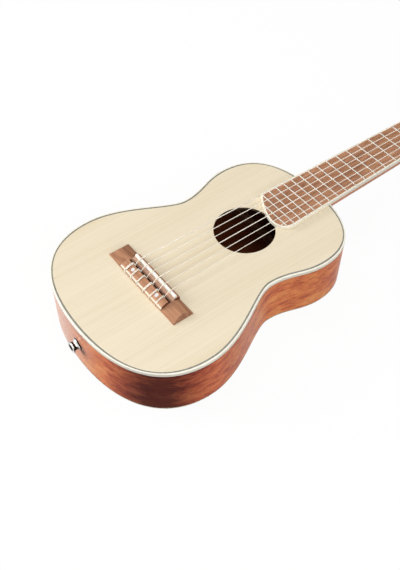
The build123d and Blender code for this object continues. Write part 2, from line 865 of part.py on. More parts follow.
def tuner_plate():
    half = plate_width / 2
    sheet = block((-half, half), (-plate_nut_end, plate_tip_end), (plate_low, -head_thickness))
    sheet = fillet(sheet.edges().filter_by(Axis.Z), plate_corner)
    sheet = sheet - rod((0, 0, plate_low), (0, 0, -head_thickness), post_radius + running_clearance)
    for x, y in plate_screw_places():
        sheet = sheet - rod((x, y, plate_low), (x, y, -head_thickness), plate_screw_shank + shaft_clearance)
    near, far = centre_distance - ear_half_width, centre_distance + ear_half_width
    for middle in (-ear_spacing / 2, ear_spacing / 2):
        left, right = middle - ear_thickness / 2, middle + ear_thickness / 2
        ends = (left, centre_distance, shaft_level), (right, centre_distance, shaft_level)
        ear = block((left, right), (near, far), (shaft_level, plate_low)) + rod(*ends, ear_half_width)
        sheet = sheet + ear - rod(*ends, shaft_radius + shaft_clearance)
    return sheet


def tuner_bushing():
    sleeve = rod((0, 0, -bushing_depth), (0, 0, 0), bushing_radius)
    flange = rod((0, 0, 0), (0, 0, bushing_flange), bushing_flange_radius)
    bore = rod((0, 0, -bushing_depth), (0, 0, bushing_flange), post_radius + running_clearance)
    return sleeve + flange - bore


def screw(x, y, seat, radius, height, shank, length):
    """A slotted screw with its head below the level of its seat."""
    head = rod((x, y, seat - height), (x, y, seat), radius)
    head = fillet(head.edges().sort_by(Axis.Z)[0], height / 2)
    stem = rod((x, y, seat), (x, y, seat + length), shank)
    low = seat - height
    cut = block((x - radius, x + radius), (y - slot_width / 2, y + slot_width / 2), (low, low + slot_depth))
    return head + stem - cut


def plate_screws():
    return [
        screw(x, y, plate_low, plate_screw_radius, plate_screw_height, plate_screw_shank, plate_screw_length)
        for x, y in plate_screw_places()
    ]


def gear():
    """A spur gear with a gap facing the worm."""
    step = 2 * pi / gear_teeth
    root, tip = gear_pitch_radius - tooth_dedendum, gear_pitch_radius + tooth_addendum
    lean = tan(radians(flank_angle))
    root_half = (tooth_thickness / 2 + tooth_dedendum * lean) / root
    tip_half = (tooth_thickness / 2 - tooth_addendum * lean) / tip
    points = []
    for tooth in range(gear_teeth):
        middle = pi / 2 + (tooth + 0.5) * step
        for radius, turn in ((root, -root_half), (tip, -tip_half), (tip, tip_half), (root, root_half)):
            points.append((radius * cos(middle + turn), radius * sin(middle + turn)))
    wheel = make_face(Polyline(*points, close=True))
    low = shaft_level - gear_thickness / 2
    high = shaft_level + gear_thickness / 2
    return slab(wheel, low, high) - rod((0, 0, low), (0, 0, high), spigot_radius)


def string_post():
    """The post, the gear on its foot and the screw that holds the gear."""
    low, gear_top = shaft_level - gear_thickness / 2, shaft_level + gear_thickness / 2
    barrel = rod((0, 0, gear_top), (0, 0, post_height), post_radius)
    barrel = chamfer(barrel.edges().sort_by(Axis.Z)[-1], post_chamfer)
    barrel = barrel + rod((0, 0, low), (0, 0, gear_top), spigot_radius)
    across = (-post_radius, 0, post_hole_height), (post_radius, 0, post_hole_height)
    barrel = barrel - rod(*across, post_hole_radius)
    barrel = barrel - rod((0, 0, low), (0, 0, low + gear_screw_length), gear_screw_shank)
    holder = screw(0, 0, low, gear_screw_radius, gear_screw_height, gear_screw_shank, gear_screw_length)
    return group([barrel, gear(), holder])


def worm_thread():
    """One right-hand thread about Z, with its middle facing +X at z = 0."""
    lean = tan(radians(flank_angle))
    length = worm_turns * tooth_pitch
    root, tip = worm_pitch_radius - tooth_dedendum, worm_pitch_radius + tooth_addendum
    sunk = root - thread_sink
    root_half = tooth_thickness / 2 + (worm_pitch_radius - sunk) * lean
    tip_half = tooth_thickness / 2 - tooth_addendum * lean
    ridge = Polyline((sunk, -root_half), (tip, -tip_half), (tip, tip_half), (sunk, root_half), close=True)
    profile = Pos(0, 0, -length / 2) * (Plane.XZ * make_face(ridge))
    helix = Helix(tooth_pitch, length, worm_pitch_radius, center=(0, 0, -length / 2))
    return sweep(profile, path=helix, is_frenet=True)


def button_start():
    return head_end_width / 2 + button_gap - post_across


def worm_shaft():
    """The shaft through both ears, with the worm between them and a collar at the button."""
    root = worm_pitch_radius - tooth_dedendum
    half = (ear_spacing - ear_thickness) / 2 - shaft_clearance
    start, end = -shaft_inner_end, button_start() + button_socket
    bar = rod((0, 0, start), (0, 0, end), shaft_radius)
    core = rod((0, 0, -half), (0, 0, half), root)
    collar = rod((0, 0, button_start() - collar_length), (0, 0, button_start()), collar_radius)
    about_z = bar + core + worm_thread() + collar
    return Plane((0, centre_distance, shaft_level), x_dir=(0, -1, 0), z_dir=(1, 0, 0)) * about_z


def tuner_button():
    """An oval button with a socket for the shaft."""
    centre = button_start() - button_flat + button_length / 2
    oval = Pos(centre, centre_distance) * Ellipse(button_length / 2, button_width / 2)
    half = button_thickness / 2
    body = fillet(slab(oval, shaft_level - half, shaft_level + half).edges(), button_round)
    start, end = button_start(), button_start() + button_socket
    y, z = centre_distance, shaft_level
    socket = rod((start, y, z), (end, y, z), shaft_radius + shaft_clearance)
    flat = block((start - button_flat, start), (y - button_width, y + button_width), (z - half, z + half))
    return body - socket - flat


def tuner_nodes():
    nodes = {
        "tuner_plates": group([on_tuner(number, tuner_plate()) for number in numbers]),
        "tuner_bushings": group([on_tuner(number, tuner_bushing()) for number in numbers]),
        "tuner_screws": group([on_tuner(number, one) for number in numbers for one in plate_screws()]),
    }
    post, shaft, button = string_post(), worm_shaft(), tuner_button()
    for number in numbers:
        nodes[f"string_post_{number}"] = on_tuner(number, post)
        nodes[f"worm_shaft_{number}"] = on_tuner(number, shaft)
        nodes[f"tuner_button_{number}"] = on_tuner(number, button)
    return nodes


def build():
    nodes = {
        "soundboard_treble": soundboard(Keep.TOP),
        "soundboard_bass": soundboard(Keep.BOTTOM),
        "back": back_plate(),
        "side_treble": side(Keep.TOP),
        "side_bass": side(Keep.BOTTOM),
        "neck_block": neck_block(),
        "tail_block": tail_block(),
        "linings": linings(),
        "top_braces": top_braces(),
        "back_braces": back_braces(),
        "bridge_plate": bridge_plate(),
        "top_binding": top_binding(),
        "top_purfling": top_purfling(),
        "back_binding": back_binding(),
        "bridge": bridge(),
        "saddle": saddle(),
        "tie_block_strip": tie_strip(),
        "bridge_dots": bridge_dots(),
        "bridge_bolts": bridge_bolts(),
        "pickup_strip": pickup_strip(),
        "pickup_lead": pickup_lead(),
        "jack_barrel": jack_barrel(),
        "jack_washer": jack_washer(),
        "strap_collar": strap_collar(),
        "jack_nut": jack_nut(),
        "neck": neck(),
        "neck_dowels": group(dowel_rods()),
        "headstock": headstock(),
        "headstock_veneer": headstock_veneer(),
        "fretboard": fretboard(),
        "fretboard_binding": fretboard_binding(),
        "frets": frets(),
        "nut": nut(),
    }
    for number in numbers:
        nodes[f"string_{number}"] = string(number)
    nodes.update(tuner_nodes())
    return nodes


if __name__ == "__main__":
    os.makedirs("parts", exist_ok=True)
    for name, shape in build().items():
        export_step(Pos(0, -middle_y, 0) * shape, f"parts/{name}.step")
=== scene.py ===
import json
import math

import bpy
from mathutils import Matrix, Vector

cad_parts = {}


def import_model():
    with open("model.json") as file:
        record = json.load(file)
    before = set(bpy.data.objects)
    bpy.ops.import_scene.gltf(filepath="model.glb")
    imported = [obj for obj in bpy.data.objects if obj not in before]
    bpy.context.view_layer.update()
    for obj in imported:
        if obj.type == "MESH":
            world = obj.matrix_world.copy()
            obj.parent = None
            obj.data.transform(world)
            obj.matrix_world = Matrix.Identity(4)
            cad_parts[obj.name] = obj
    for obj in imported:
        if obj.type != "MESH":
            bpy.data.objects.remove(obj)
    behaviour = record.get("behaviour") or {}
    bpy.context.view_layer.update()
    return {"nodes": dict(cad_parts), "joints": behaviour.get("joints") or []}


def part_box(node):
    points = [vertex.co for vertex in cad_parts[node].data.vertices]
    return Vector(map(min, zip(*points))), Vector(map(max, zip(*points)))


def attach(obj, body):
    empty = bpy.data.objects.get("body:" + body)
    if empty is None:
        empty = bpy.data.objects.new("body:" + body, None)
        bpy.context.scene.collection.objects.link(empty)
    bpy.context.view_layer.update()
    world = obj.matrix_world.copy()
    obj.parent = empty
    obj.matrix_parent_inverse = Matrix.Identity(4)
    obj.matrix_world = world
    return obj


# Looks for a guitalele lying face up, in metres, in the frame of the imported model:
# +X is the treble side, +Y points to the head, +Z is up and the back lies on z = 0.

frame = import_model()
nodes = frame["nodes"]
joints = {joint["name"]: joint for joint in frame["joints"]}
MM = 0.001
STRINGS = range(1, 7)

# Places on the bridge
top_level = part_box("soundboard_treble")[1].z
tie_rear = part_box("tie_block_strip")[0].y
tie_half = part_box("tie_block_strip")[1].x
saddle_low, saddle_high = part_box("saddle")
TIE_WIDTH = 9.8 * MM
CHANNEL_WIDTH = 3.0 * MM
CHANNEL_FLOOR = 2.2 * MM
RIDGE_FOOT = 1.6 * MM       # how far the channel's painted shade runs up the ridge behind the saddle
tie_front = tie_rear + TIE_WIDTH

# Places on the sides
SHADE_MIDDLE = (0.110, -0.318, 0.0)        # the middle of the painted shade on the treble side, a dark, redder stretch
SHADE_REACH = (0.057, 0.103)        # distances from its middle over which the dark painted shade fades
SHADE_EDGE = (0.080, 0.116)         # the same for the redder painted shade round it
TAIL_SHEEN = (-0.045, -0.332, 0.0)   # the middle of the painted sheen beside the jack, a pale, pinker stretch
SHEEN_REACH = (0.050, 0.115)         # distances from its middle over which it fades
SHADE_LINE = 1.1 * MM                     # the width of the painted shade line where a side meets its bindings
back_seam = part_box("back_binding")[1].z
top_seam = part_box("top_binding")[0].z


# Helpers for materials

class Graph:
    """A material's node tree, with one short call for each kind of node."""

    def __init__(self, name):
        self.material = bpy.data.materials.new(name)
        self.material.use_nodes = True
        self.tree = self.material.node_tree
        self.shader = self.tree.nodes["Principled BSDF"]
        where = self.node("ShaderNodeTexCoord")
        self.place = where.outputs["Object"]
        self.facing = where.outputs["Normal"]

    def put(self, socket, value):
        if isinstance(value, bpy.types.NodeSocket):
            self.tree.links.new(value, socket)
        else:
            socket.default_value = value

    def node(self, kind, inputs=None, **settings):
        made = self.tree.nodes.new(kind)
        for key, value in settings.items():
            setattr(made, key, value)
        for key, value in (inputs or {}).items():
            self.put(made.inputs[key], value)
        return made

    def stretch(self, vector, scale):
        return self.node("ShaderNodeMapping", {"Vector": vector, "Scale": scale}).outputs["Vector"]

    def split(self, vector):
        return self.node("ShaderNodeSeparateXYZ", {"Vector": vector}).outputs

    def join(self, x, y, z):
        return self.node("ShaderNodeCombineXYZ", {"X": x, "Y": y, "Z": z}).outputs["Vector"]

    def noise(self, vector, detail=2.0, roughness=0.5, distortion=0.0):
        inputs = {"Vector": vector, "Scale": 1.0, "Detail": detail}
        inputs.update({"Roughness": roughness, "Distortion": distortion})
        return self.node("ShaderNodeTexNoise", inputs).outputs["Fac"]

    def distance(self, a, b):
        return self.node("ShaderNodeVectorMath", {0: a, 1: b}, operation="DISTANCE").outputs["Value"]

    def math(self, operation, a, b=0.0):
        return self.node("ShaderNodeMath", {0: a, 1: b}, operation=operation).outputs[0]

    def size(self, value):
        """A value without its sign."""
        return self.math("ABSOLUTE", value)

    def product(self, first, *others):
        for other in others:
            first = self.math("MULTIPLY", first, other)
        return first

    def blend(self, *parts):
        """A weighted sum of (weight, value) pairs."""
        total = 0.0
        for weight, value in parts:
            total = self.math("ADD", self.math("MULTIPLY", value, weight), total)
        return total

    def span(self, value, low, high, to_low=0.0, to_high=1.0):
        """A value's stretch from low to high, spread over another range and held at its ends."""
        inputs = {"Value": value, "From Min": low, "From Max": high, "To Min": to_low, "To Max": to_high}
        return self.node("ShaderNodeMapRange", inputs, clamp=True).outputs["Result"]

    def within(self, value, low, high, soft):
        """1 where a value lies between low and high, fading to 0 over a soft edge."""
        rise = self.span(value, low - soft, low)
        fall = self.span(value, high, high + soft, 1.0, 0.0)
        return self.product(rise, fall)

    def ramp(self, value, stops):
        made = self.node("ShaderNodeValToRGB", {"Fac": value})
        points = made.color_ramp.elements
        while len(points) < len(stops):
            points.new(0.5)
        for point, (place, colour) in zip(points, stops):
            point.position = place
            point.color = (*colour, 1.0)
        return made.outputs["Color"]

    def mix(self, share, a, b, blend="MIX"):
        made = self.node("ShaderNodeMix", data_type="RGBA", blend_type=blend)
        self.put(made.inputs[0], share)
        self.put(made.inputs[6], a if isinstance(a, bpy.types.NodeSocket) else (*a, 1.0))
        self.put(made.inputs[7], b if isinstance(b, bpy.types.NodeSocket) else (*b, 1.0))
        return made.outputs[2]

    def wander(self, scale, share):
        """The place, moved about a little so that grain lines aren't straight."""
        drift = self.node("ShaderNodeTexNoise", {"Vector": self.place, "Scale": scale, "Detail": 2.0})
        return self.mix(share, self.place, drift.outputs["Color"], "LINEAR_LIGHT")

    def bump(self, height, depth):
        """A normal from a height that runs from 0 to 1 over a depth in metres."""
        return self.node("ShaderNodeBump", {"Height": height, "Distance": depth}).outputs["Normal"]

    def set(self, **values):
        names = {
            "colour": "Base Color", "roughness": "Roughness", "metallic": "Metallic", "normal": "Normal",
            "coat": "Coat Weight", "coat_roughness": "Coat Roughness", "transmission": "Transmission Weight",
            "ior": "IOR", "specular": "Specular IOR Level", "scatter": "Subsurface Weight",
            "scatter_scale": "Subsurface Scale",
        }
        for key, value in values.items():
            self.put(self.shader.inputs[names[key]], value)
        return self.material


# Woods

RING_WIDTH = 2.3 * MM
RING_DRIFT = 6.0 * MM           # how far a ring wanders to the side
RINGS_FADE = (-0.26, -0.12)     # the stretch of Y over which the rings grow faint, away from the tail


def spruce():
    """Pale quarter-sawn spruce: two matched halves with straight rings along Y, under satin lacquer.

    The cut edge round the sound hole is darkened with painted shade.
    """
    g = Graph("spruce")
    x, y, z = g.split(g.place)[:3]
    drift = g.noise(g.stretch(g.place, (9.0, 3.0, 4.0)), detail=1.0)
    across = g.blend((1.0, g.size(x)), (RING_DRIFT, drift))
    grain = g.join(across, y, z)
    uneven = g.noise(g.stretch(grain, (70.0, 1.2, 4.0)), detail=1.0)
    ring = g.math("FRACT", g.blend((1.0 / RING_WIDTH, across), (2.2, uneven)))
    late = g.product(g.span(ring, 0.45, 0.85), g.span(ring, 0.86, 1.0, 1.0, 0.0))
    presence = g.span(g.noise(g.stretch(grain, (16.0, 3.0, 3.0)), detail=2.0), 0.42, 0.64, 0.04, 1.0)
    ring_tone = g.noise(g.join(g.product(across, 170.0), 0.0, 0.0), detail=2.0)
    fading = g.span(y, *RINGS_FADE, 0.68, 0.12)
    lines = g.product(late, g.span(ring_tone, 0.40, 0.66), presence, fading)
    fibres = g.noise(g.stretch(grain, (900.0, 5.0, 40.0)), detail=2.0, roughness=0.6)
    broad = g.noise(g.stretch(grain, (34.0, 2.0, 6.0)), detail=2.0)
    silk = g.noise(g.stretch(grain, (240.0, 60.0, 60.0)), detail=3.0, roughness=0.65)
    tone = g.blend((0.4, fibres), (0.6, broad))
    colour = g.ramp(tone, [(0.36, (0.690, 0.576, 0.388)), (0.60, (0.752, 0.660, 0.494))])
    colour = g.mix(lines, colour, (0.60, 0.43, 0.23))
    colour = g.mix(g.span(silk, 0.35, 0.75, 0.0, 0.08), colour, (0.84, 0.76, 0.62))
    # Painted shade: upright faces, such as the sound hole's cut edge, go nearly black.
    cut_edge_shade = g.span(g.size(g.split(g.facing)["Z"]), 0.3, 0.7, 0.93, 0.0)
    colour = g.mix(cut_edge_shade, colour, (0.040, 0.018, 0.010))
    return g.set(
        colour=colour, roughness=g.span(silk, 0.2, 0.8, 0.46, 0.36), normal=g.bump(fibres, 0.00002),
        coat=0.08, coat_roughness=0.22, specular=0.35,
    )


def side_painted_light(g, colour, streaks, ribbon):
    """The sides' painted light: a painted sheen by the jack, painted shade lines at the bindings, and a
    red-brown painted shade on the treble side.
    """
    x, y, z = g.split(g.place)[:3]
    plan = g.join(x, y, 0.0)
    # Painted sheen: a paler, pinker colour on the side beside the jack, at the tail.
    from_tail = g.blend((1.0, g.distance(plan, TAIL_SHEEN)), (0.04, streaks), (0.03, ribbon))
    colour = g.mix(g.span(from_tail, *SHEEN_REACH, 0.60, 0.0), colour, (0.800, 0.625, 0.540))
    # Painted shade: a dark line along the side's edges, under the top binding and over the back binding.
    low_shade_line = g.span(z, back_seam, back_seam + SHADE_LINE, 0.7, 0.0)
    high_shade_line = g.span(z, top_seam - SHADE_LINE, top_seam, 0.0, 0.7)
    colour = g.mix(g.math("MAXIMUM", low_shade_line, high_shade_line), colour, (0.110, 0.036, 0.020))
    # Painted shade: the treble side's lower bout goes redder, then dark red-brown, round one place.
    from_shade = g.blend((1.0, g.distance(plan, SHADE_MIDDLE)), (0.035, streaks), (0.03, ribbon))
    colour = g.mix(g.span(from_shade, *SHADE_EDGE, 1.0, 0.0), colour, (1.00, 0.72, 0.80), "MULTIPLY")
    return g.mix(g.span(from_shade, *SHADE_REACH, 0.90, 0.0), colour, (0.052, 0.005, 0.005))


def mahogany(name, level=False, shaded_inside=False, pale=0.0):
    """Reddish ribbon mahogany under satin lacquer; its grain runs along Y, or lies level round the sides.

    A board can be given painted shade on its upper face, inside the body.
    Pale is how far the wood goes towards a lighter, pinker board.
    """
    g = Graph(name)
    warped = g.wander(7.0, 0.012)

    def fibres(fine, slow):
        """The place, stretched so that it changes slowly along the grain and fast across it."""
        return g.stretch(warped, (slow, slow, fine) if level else (fine, slow, fine))

    streaks = g.noise(fibres(470.0, 95.0), detail=3.0, roughness=0.65)
    ribbon = g.noise(fibres(80.0, 14.0), detail=2.0)
    patches = g.noise(fibres(100.0, 46.0), detail=4.0, roughness=0.6)
    pores = g.noise(fibres(1300.0, 210.0), detail=1.0)
    tone = g.blend((0.34, streaks), (0.32, ribbon), (0.34, patches))
    colour = g.ramp(tone, [
        (0.34, (0.420, 0.085, 0.052)), (0.43, (0.640, 0.165, 0.085)), (0.51, (0.830, 0.265, 0.104)),
        (0.60, (0.930, 0.385, 0.145)), (0.69, (0.960, 0.470, 0.200)),
    ])
    if pale:
        colour = g.mix(pale, colour, (0.700, 0.400, 0.270))
    dark = g.span(pores, 0.60, 0.72, 0.0, 0.5)
    colour = g.mix(dark, colour, (0.080, 0.020, 0.009))
    if level:
        colour = side_painted_light(g, colour, streaks, ribbon)
    if shaded_inside:
        # Painted shade inside the body: the back's upward faces go nearly black-brown.
        inside_shade = g.span(g.split(g.facing)["Z"], 0.3, 0.9, 0.0, 0.91)
        colour = g.mix(inside_shade, colour, (0.052, 0.010, 0.004))
    return g.set(
        colour=colour, roughness=g.span(streaks, 0.3, 0.7, 0.34, 0.25),
        normal=g.bump(g.math("SUBTRACT", 1.0, dark), 0.00005), specular=0.03,
    )


def bridge_grain_and_shade(g, colour):
    """The bridge's marks: darker end grain with painted shade added, painted shade in the channel, and a
    painted light on the ridge behind the saddle.
    """
    x, y, z = g.split(g.place)[:3]
    soft = 0.2 * MM
    channel_end = tie_front + CHANNEL_WIDTH
    channel_floor = top_level + CHANNEL_FLOOR
    middle = g.span(g.size(x), tie_half - soft, tie_half + 1.0 * MM, 1.0, 0.0)
    # Painted light: the ridge between the channel and the saddle is made paler.
    ridge_light = g.product(middle, g.within(y, channel_end, saddle_low.y, soft))
    colour = g.mix(g.product(ridge_light, 0.42), colour, (0.70, 0.48, 0.35))
    # Darker end grain, strengthened with painted shade: most on the tie block's ends, less on the wings'
    # bevelled ends.
    end_faces = g.span(g.size(g.split(g.facing)["X"]), 0.25, 0.95)
    end_grain_and_shade = g.product(end_faces, g.span(middle, 0.0, 1.0, 0.50, 0.95))
    # Painted shade in the channel in front of the tie block and up the foot of the ridge, darkest low down.
    channel = g.product(middle, g.within(y, tie_front, channel_end + RIDGE_FOOT, 3.0 * soft))
    channel_shade = g.product(channel, g.span(z, channel_floor, channel_floor + 4.0 * MM, 0.95, 0.5))
    return g.mix(g.math("MAXIMUM", end_grain_and_shade, channel_shade), colour, (0.090, 0.025, 0.010))


def walnut(name, scale, bridge=False):
    """Open-pored brown wood, oiled; scale gives how fast the grain changes along X, Y and Z."""
    g = Graph(name)
    warped = g.wander(16.0, 0.008)
    lines = g.noise(g.stretch(warped, scale), detail=3.0, roughness=0.62)
    bands = g.noise(g.stretch(warped, [value * 0.28 for value in scale]), detail=2.0)
    pores = g.noise(g.stretch(g.place, [value * 3.4 for value in scale]), detail=1.0)
    colour = g.ramp(g.blend((0.6, lines), (0.4, bands)), [
        (0.30, (0.160, 0.064, 0.030)), (0.42, (0.310, 0.140, 0.072)),
        (0.55, (0.440, 0.215, 0.118)), (0.72, (0.550, 0.300, 0.175)),
    ])
    dark = g.span(pores, 0.60, 0.74, 0.0, 0.65)
    colour = g.mix(dark, colour, (0.085, 0.034, 0.018))
    if bridge:
        colour = bridge_grain_and_shade(g, colour)
    return g.set(
        colour=colour, roughness=g.span(lines, 0.3, 0.7, 0.56, 0.44),
        normal=g.bump(g.math("SUBTRACT", 1.0, dark), 0.00004), specular=0.22,
    )


def inner_wood():
    """Raw brown wood of the blocks, braces and linings."""
    g = Graph("inner_wood")
    lines = g.noise(g.stretch(g.place, (160.0, 160.0, 420.0)), detail=3.0)
    colour = g.ramp(lines, [(0.3, (0.100, 0.038, 0.018)), (0.7, (0.180, 0.078, 0.038))])
    return g.set(colour=colour, roughness=0.75, normal=g.bump(lines, 0.00008))


# Plastics, bone and nylon

def edging(name, pale, deep):
    """Glossy cream edging with the faint stripes of grained celluloid."""
    g = Graph(name)
    stripes = g.noise(g.stretch(g.place, (700.0, 60.0, 700.0)), detail=2.0)
    cloud = g.noise(g.stretch(g.place, (60.0, 60.0, 60.0)), detail=2.0)
    colour = g.ramp(g.blend((0.6, stripes), (0.4, cloud)), [(0.35, deep), (0.65, pale)])
    return g.set(
        colour=colour, roughness=g.span(cloud, 0.3, 0.7, 0.30, 0.22), coat=0.2, coat_roughness=0.08,
        normal=g.bump(stripes, 0.00001),
    )


def purfling():
    """The thin grey line, made of short dyed slips."""
    g = Graph("purfling")
    slips = g.noise(g.stretch(g.place, (420.0, 420.0, 40.0)), detail=2.0)
    colour = g.ramp(slips, [(0.35, (0.142, 0.140, 0.112)), (0.65, (0.225, 0.218, 0.176))])
    return g.set(colour=colour, roughness=0.4, coat=0.1, coat_roughness=0.2, normal=g.bump(slips, 0.00002))


def bone(name, deep, pale, specular):
    """Polished bone with short flecks along X."""
    g = Graph(name)
    fleck = g.noise(g.stretch(g.place, (120.0, 900.0, 900.0)), detail=3.0)
    colour = g.ramp(fleck, [(0.35, deep), (0.6, pale)])
    return g.set(
        colour=colour, roughness=g.span(fleck, 0.3, 0.7, 0.44, 0.34), normal=g.bump(fleck, 0.00003),
        scatter=0.15, scatter_scale=0.002, specular=specular,
    )


def nylon():
    """Milky nylon with the faint clouding of drawn filament."""
    g = Graph("nylon")
    cloud = g.noise(g.stretch(g.place, (90.0, 40.0, 90.0)), detail=2.0)
    colour = g.ramp(cloud, [(0.3, (0.87, 0.80, 0.68)), (0.7, (0.92, 0.87, 0.77))])
    return g.set(colour=colour, roughness=g.span(cloud, 0.3, 0.7, 0.36, 0.26), transmission=0.12, ior=1.53)


def pearl(name, tints, size):
    """Mother of pearl or pearl plastic: cloudy layers under a clear gloss."""
    g = Graph(name)
    cloud = g.noise(g.stretch(g.place, (size, size, size)), detail=3.0, roughness=0.6, distortion=1.6)
    colour = g.ramp(cloud, list(zip((0.30, 0.45, 0.56, 0.70), tints)))
    return g.set(
        colour=colour, roughness=g.span(cloud, 0.3, 0.7, 0.34, 0.22), coat=0.5, coat_roughness=0.06,
        normal=g.bump(cloud, 0.00002),
    )


def rubber():
    """The black sheath of the pickup's lead."""
    g = Graph("lead_sheath")
    grit = g.noise(g.stretch(g.place, (2500.0, 2500.0, 2500.0)), detail=2.0)
    colour = g.ramp(grit, [(0.3, (0.012, 0.012, 0.012)), (0.7, (0.035, 0.035, 0.035))])
    return g.set(colour=colour, roughness=0.6, normal=g.bump(grit, 0.00003))


# Metals

def metal(name, dull, bright, smooth, rough, brush):
    """Plated metal with fine handling marks; brush gives how fast the marks change along X, Y and Z."""
    g = Graph(name)
    marks = g.noise(g.stretch(g.place, brush), detail=3.0, roughness=0.6)
    smudge = g.noise(g.stretch(g.place, (140.0, 140.0, 140.0)), detail=2.0)
    colour = g.ramp(smudge, [(0.35, dull), (0.65, bright)])
    wear = g.span(g.blend((0.5, marks), (0.5, smudge)), 0.35, 0.65, smooth, rough)
    return g.set(colour=colour, metallic=1.0, roughness=wear, normal=g.bump(marks, 0.000006))


def collar_metal():
    """Smoked chrome with a painted reflection: bright on the faces that look up and out along the jack, and
    dark elsewhere.
    """
    g = Graph("collar_metal")
    smudge = g.noise(g.stretch(g.place, (260.0, 260.0, 260.0)), detail=3.0)
    y, z = g.split(g.facing)[1:3]
    # Painted reflection: faces turned up or out along the jack are painted bright.
    painted_reflection = g.span(g.blend((0.8, z), (-0.9, y), (0.2, smudge)), 0.50, 1.0)
    colour = g.mix(painted_reflection, (0.030, 0.022, 0.019), (0.74, 0.72, 0.70))
    return g.set(
        colour=colour, metallic=1.0, roughness=g.span(smudge, 0.35, 0.65, 0.08, 0.18),
        normal=g.bump(smudge, 0.00001),
    )


# Which node is made of what

def paint(material, *names):
    """Gives CAD nodes their material."""
    for name in names:
        slots = nodes[name].data.materials
        slots.clear()
        slots.append(material)


def each(name):
    """The six nodes of one kind, one for each string."""
    return [f"{name}_{number}" for number in STRINGS]


paint(spruce(), "soundboard_treble", "soundboard_bass")
paint(mahogany("mahogany_sides", level=True), "side_treble", "side_bass")
paint(mahogany("mahogany_back", shaded_inside=True), "back")
paint(mahogany("mahogany_neck", pale=0.45), "neck", "headstock")
paint(walnut("walnut_bridge", (7.0, 300.0, 300.0), bridge=True), "bridge")
paint(walnut("walnut_board", (360.0, 10.0, 360.0)), "fretboard", "headstock_veneer")
raw = inner_wood()
paint(raw, "neck_block", "tail_block", "linings", "top_braces", "back_braces", "bridge_plate", "neck_dowels")

cream = edging("binding_cream", (0.87, 0.83, 0.72), (0.81, 0.76, 0.63))
paint(cream, "top_binding", "fretboard_binding")
paint(edging("back_cream", (0.76, 0.68, 0.52), (0.68, 0.59, 0.43)), "back_binding")
paint(purfling(), "top_purfling")
paint(bone("bone", (0.84, 0.78, 0.69), (0.90, 0.86, 0.79), 0.4), "saddle", "nut")
paint(bone("bone_strip", (0.70, 0.60, 0.47), (0.78, 0.69, 0.56), 0.08), "tie_block_strip")
strand = nylon()
paint(strand, *each("string"))
shell = [(0.55, 0.55, 0.54), (0.68, 0.66, 0.64), (0.60, 0.62, 0.61), (0.72, 0.67, 0.66)]
paint(pearl("pearl", shell, 900.0), "bridge_dots")
milk = [(0.80, 0.76, 0.66), (0.88, 0.85, 0.77), (0.84, 0.81, 0.72), (0.91, 0.89, 0.83)]
paint(pearl("pearl_plastic", milk, 160.0), *each("tuner_button"))
paint(rubber(), "pickup_lead")

ALONG_X = (40.0, 3000.0, 3000.0)
satin = metal("fret_metal", (0.40, 0.375, 0.335), (0.48, 0.455, 0.41), 0.46, 0.58, ALONG_X)
paint(satin, "frets")
paint(collar_metal(), "strap_collar")
ROUND_JACK = (900.0, 2500.0, 900.0)
# Near-black metal; on the barrel it is painted shade for the inside of the jack's bore.
black_and_bore_shade = metal("jack_black", (0.010, 0.009, 0.008), (0.028, 0.025, 0.023), 0.20, 0.35, ROUND_JACK)
paint(black_and_bore_shade, "jack_barrel", "jack_washer", "jack_nut")
ALONG_Y = (1200.0, 300.0, 1200.0)
nickel = metal("tuner_metal", (0.52, 0.51, 0.49), (0.68, 0.67, 0.64), 0.14, 0.30, ALONG_Y)
paint(nickel, "tuner_plates", "tuner_bushings", "tuner_screws", "bridge_bolts")
paint(nickel, *each("string_post"), *each("worm_shaft"))
EVEN = (2000.0, 2000.0, 2000.0)
brass = metal("pickup_metal", (0.48, 0.34, 0.16), (0.62, 0.47, 0.25), 0.3, 0.5, EVEN)
paint(brass, "pickup_strip")


# String ends: turns round the posts, and the second strands of the ties

# Radii of strings 1 to 6, as in the CAD model
STRING_RADII = [radius * MM for radius in (0.36, 0.41, 0.52, 0.38, 0.45, 0.56)]


def tube(name, points, radius, body):
    """A strand through points, made a mesh that rides on a body."""
    line = bpy.data.curves.new(name, "CURVE")
    line.dimensions = "3D"
    line.bevel_depth = radius
    line.bevel_resolution = 3
    line.resolution_u = 6
    line.use_fill_caps = True
    spline = line.splines.new("BEZIER")
    spline.bezier_points.add(len(points) - 1)
    for knot, point in zip(spline.bezier_points, points):
        knot.co = point
        knot.handle_left_type = knot.handle_right_type = "AUTO"
    source = bpy.data.objects.new(name, line)
    bpy.context.scene.collection.objects.link(source)
    bpy.context.view_layer.update()
    mesh = bpy.data.meshes.new_from_object(source.evaluated_get(bpy.context.evaluated_depsgraph_get()))
    bpy.data.objects.remove(source)
    bpy.data.curves.remove(line)
    mesh.shade_smooth()
    mesh.materials.clear()
    mesh.materials.append(strand)
    piece = bpy.data.objects.new(name, mesh)
    bpy.context.scene.collection.objects.link(piece)
    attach(piece, body)


POST_RADIUS = 3.0 * MM
POST_HOLE_HEIGHT = 9.6 * MM
STRING_LEVEL = 6.14 * MM    # where a string meets its post, above the head's face
TURN_GAP = 0.08 * MM
FEWEST_TURNS = 1.5
STEPS_A_TURN = 12
STEPS_IN = 3                # steps in which the first turn comes out from the post


